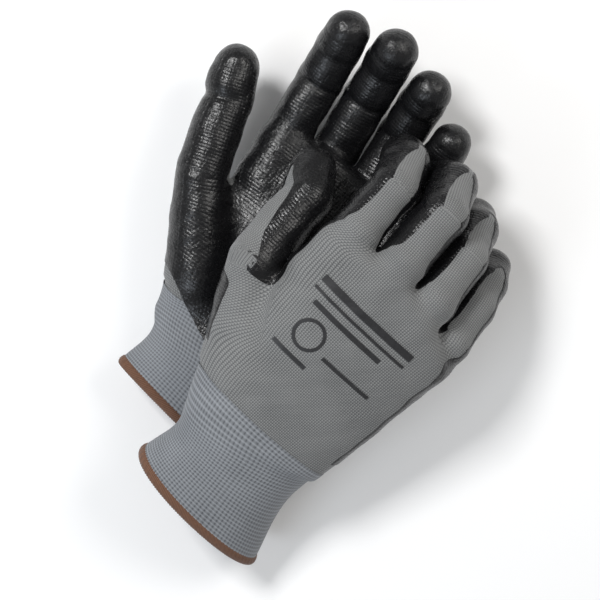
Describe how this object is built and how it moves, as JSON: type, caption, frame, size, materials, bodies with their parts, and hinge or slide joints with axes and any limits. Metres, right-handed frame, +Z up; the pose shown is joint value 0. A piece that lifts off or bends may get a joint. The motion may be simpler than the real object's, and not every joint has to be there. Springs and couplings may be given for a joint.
{
  "type": "work gloves",
  "caption": "Palm-dipped knit work gloves, stuffed as if worn and laid one across the other, with ribbed cuffs and jointed fingers.",
  "frame": {"origin": "middle of the pair's footprint, on the surface it lies on", "axes": "+Z up, out of the surface; +Y towards the left glove's fingertips, +X towards the right glove's fingertips"},
  "size_m": [0.1992, 0.2648, 0.0954],
  "materials": {
    "hand_knit": "fine seamless nylon knit, matt with a slight sheen",
    "rib_knit": "coarser ribbed knit with elastic, matt",
    "edge_thread": "brown overlock stitching, matt",
    "elastic_yarn": "covered elastic yarn, matt",
    "nitrile": "smooth black nitrile dip, semi-gloss, fine knit telegraphing through",
    "print_ink": "black heat-transfer print, satin"
  },
  "bodies": {
    "left_cuff": {"left_cuff_edge": "edge_thread", "left_cuff_elastic": "elastic_yarn", "left_cuff_rib": "rib_knit"},
    "left_hand": {"left_hand_coating": "nitrile", "left_hand_liner": "hand_knit"},
    "left_index_base": {"left_index_base_coating": "nitrile", "left_index_base_liner": "hand_knit"},
    "left_index_tip": {"left_index_tip_coating": "nitrile", "left_index_tip_liner": "hand_knit"},
    "left_little_base": {"left_little_base_coating": "nitrile", "left_little_base_liner": "hand_knit"},
    "left_little_tip": {"left_little_tip_coating": "nitrile", "left_little_tip_liner": "hand_knit"},
    "left_middle_base": {"left_middle_base_coating": "nitrile", "left_middle_base_liner": "hand_knit"},
    "left_middle_tip": {"left_middle_tip_coating": "nitrile", "left_middle_tip_liner": "hand_knit"},
    "left_ring_base": {"left_ring_base_coating": "nitrile", "left_ring_base_liner": "hand_knit"},
    "left_ring_tip": {"left_ring_tip_coating": "nitrile", "left_ring_tip_liner": "hand_knit"},
    "left_thumb_base": {"left_thumb_base_coating": "nitrile", "left_thumb_base_liner": "hand_knit"},
    "left_thumb_tip": {"left_thumb_tip_coating": "nitrile", "left_thumb_tip_liner": "hand_knit"},
    "right_hand": {"right_back_print": "print_ink", "right_hand_coating": "nitrile", "right_hand_liner": "hand_knit"},
    "right_cuff": {"right_cuff_edge": "edge_thread", "right_cuff_elastic": "elastic_yarn", "right_cuff_rib": "rib_knit"},
    "right_index_base": {"right_index_base_coating": "nitrile", "right_index_base_liner": "hand_knit"},
    "right_index_tip": {"right_index_tip_coating": "nitrile", "right_index_tip_liner": "hand_knit"},
    "right_little_base": {"right_little_base_coating": "nitrile", "right_little_base_liner": "hand_knit"},
    "right_little_tip": {"right_little_tip_coating": "nitrile", "right_little_tip_liner": "hand_knit"},
    "right_middle_base": {"right_middle_base_coating": "nitrile", "right_middle_base_liner": "hand_knit"},
    "right_middle_tip": {"right_middle_tip_coating": "nitrile", "right_middle_tip_liner": "hand_knit"},
    "right_ring_base": {"right_ring_base_coating": "nitrile", "right_ring_base_liner": "hand_knit"},
    "right_ring_tip": {"right_ring_tip_coating": "nitrile", "right_ring_tip_liner": "hand_knit"},
    "right_thumb_base": {"right_thumb_base_coating": "nitrile", "right_thumb_base_liner": "hand_knit"},
    "right_thumb_tip": {"right_thumb_tip_coating": "nitrile", "right_thumb_tip_liner": "hand_knit"}
  },
  "joints": [
    {"name": "left_wrist_bend", "type": "hinge", "parent": "left_hand", "child": "left_cuff", "pos_m": [-0.03594, -0.0213, 0.01949], "axis": [0.8053, -0.5916, -0.0384], "range_deg": [-1, 5], "stiffness_Nm_per_rad": 0.6},
    {"name": "left_thumb_base_bend", "type": "hinge", "parent": "left_hand", "child": "left_thumb_base", "pos_m": [-0.05128, 0.05325, 0.03367], "axis": [0.7446, -0.2612, 0.6143], "range_deg": [0, 56], "stiffness_Nm_per_rad": 0.25},
    {"name": "left_thumb_middle_bend", "type": "hinge", "parent": "left_thumb_base", "child": "left_thumb_tip", "pos_m": [-0.03839, 0.09111, 0.03413], "axis": [0.7446, -0.2612, 0.6143], "range_deg": [-3, 53], "stiffness_Nm_per_rad": 0.12},
    {"name": "left_index_base_bend", "type": "hinge", "parent": "left_hand", "child": "left_index_base", "pos_m": [-0.00686, 0.07894, 0.02287], "axis": [0.8584, -0.5116, -0.0382], "range_deg": [-10, 47], "stiffness_Nm_per_rad": 0.25},
    {"name": "left_index_middle_bend", "type": "hinge", "parent": "left_index_base", "child": "left_index_tip", "pos_m": [0.00637, 0.10075, 0.02792], "axis": [0.8584, -0.5116, -0.0382], "range_deg": [-20, 36], "stiffness_Nm_per_rad": 0.12},
    {"name": "left_middle_base_bend", "type": "hinge", "parent": "left_hand", "child": "left_middle_base", "pos_m": [0.01528, 0.06888, 0.01695], "axis": [0.8584, -0.5116, -0.0382], "range_deg": [-18, 39], "stiffness_Nm_per_rad": 0.25},
    {"name": "left_middle_middle_bend", "type": "hinge", "parent": "left_middle_base", "child": "left_middle_tip", "pos_m": [0.02961, 0.09222, 0.02649], "axis": [0.8584, -0.5116, -0.0382], "range_deg": [-21, 35], "stiffness_Nm_per_rad": 0.12},
    {"name": "left_ring_base_bend", "type": "hinge", "parent": "left_hand", "child": "left_ring_base", "pos_m": [0.0327, 0.05112, 0.01801], "axis": [0.8566, -0.5146, -0.0382], "range_deg": [-2, 15], "stiffness_Nm_per_rad": 0.25},
    {"name": "left_ring_middle_bend", "type": "hinge", "parent": "left_ring_base", "child": "left_ring_tip", "pos_m": [0.04612, 0.07334, 0.01946], "axis": [0.8566, -0.5146, -0.0382], "range_deg": [-29, 23], "stiffness_Nm_per_rad": 0.12},
    {"name": "left_little_base_bend", "type": "hinge", "parent": "left_hand", "child": "left_little_base", "pos_m": [0.04552, 0.02929, 0.02412], "axis": [0.8539, -0.5191, -0.0382], "range_deg": [0, 3.5], "stiffness_Nm_per_rad": 0.25},
    {"name": "left_little_middle_bend", "type": "hinge", "parent": "left_little_base", "child": "left_little_tip", "pos_m": [0.05643, 0.04724, 0.02419], "axis": [0.8539, -0.5191, -0.0382], "range_deg": [-10, 7], "stiffness_Nm_per_rad": 0.12},
    {"name": "right_glove_lift", "type": "slide", "parent": "left_hand", "child": "right_hand", "axis": [0, 0, 1], "range_m": [0, 0.15]},
    {"name": "right_wrist_bend", "type": "hinge", "parent": "right_hand", "child": "right_cuff", "pos_m": [-0.02034, -0.0643, 0.05379], "axis": [-0.7069, 0.6505, 0.2778], "range_deg": [0, 17], "stiffness_Nm_per_rad": 0.6},
    {"name": "right_thumb_base_bend", "type": "hinge", "parent": "right_hand", "child": "right_thumb_base", "pos_m": [-0.02501, 0.01119, 0.07035], "axis": [-0.466, 0.5579, 0.6867], "range_deg": [-9, 10], "stiffness_Nm_per_rad": 0.25},
    {"name": "right_thumb_middle_bend", "type": "hinge", "parent": "right_thumb_base", "child": "right_thumb_tip", "pos_m": [0.00014, 0.04138, 0.06288], "axis": [-0.466, 0.5579, 0.6867], "range_deg": [-30, 25], "stiffness_Nm_per_rad": 0.12},
    {"name": "right_index_base_bend", "type": "hinge", "parent": "right_hand", "child": "right_index_base", "pos_m": [0.02338, 0.02532, 0.08481], "axis": [-0.6882, 0.6677, 0.2838], "range_deg": [-24, 18], "stiffness_Nm_per_rad": 0.25},
    {"name": "right_index_middle_bend", "type": "hinge", "parent": "right_index_base", "child": "right_index_tip", "pos_m": [0.03993, 0.04464, 0.07947], "axis": [-0.6882, 0.6677, 0.2838], "range_deg": [-35, 21], "stiffness_Nm_per_rad": 0.12},
    {"name": "right_middle_base_bend", "type": "hinge", "parent": "right_hand", "child": "right_middle_base", "pos_m": [0.04404, 0.01124, 0.08396], "axis": [-0.7007, 0.6563, 0.2798], "range_deg": [-19, 3.5], "stiffness_Nm_per_rad": 0.25},
    {"name": "right_middle_middle_bend", "type": "hinge", "parent": "right_middle_base", "child": "right_middle_tip", "pos_m": [0.06299, 0.03293, 0.08053], "axis": [-0.7007, 0.6563, 0.2798], "range_deg": [-42, 13], "stiffness_Nm_per_rad": 0.12},
    {"name": "right_ring_base_bend", "type": "hinge", "parent": "right_hand", "child": "right_ring_base", "pos_m": [0.05847, -0.00665, 0.07436], "axis": [-0.6982, 0.6586, 0.2806], "range_deg": [-31, 20], "stiffness_Nm_per_rad": 0.25},
    {"name": "right_ring_middle_bend", "type": "hinge", "parent": "right_ring_base", "child": "right_ring_tip", "pos_m": [0.07358, 0.01286, 0.06618], "axis": [-0.6982, 0.6586, 0.2806], "range_deg": [-27, 29], "stiffness_Nm_per_rad": 0.12},
    {"name": "right_little_base_bend", "type": "hinge", "parent": "right_hand", "child": "right_little_base", "pos_m": [0.06743, -0.02576, 0.05911], "axis": [-0.6982, 0.6586, 0.2806], "range_deg": [-33, 23], "stiffness_Nm_per_rad": 0.25},
    {"name": "right_little_middle_bend", "type": "hinge", "parent": "right_little_base", "child": "right_little_tip", "pos_m": [0.07932, -0.01005, 0.05185], "axis": [-0.6982, 0.6586, 0.2806], "range_deg": [-15, 40], "stiffness_Nm_per_rad": 0.12}
  ]
}
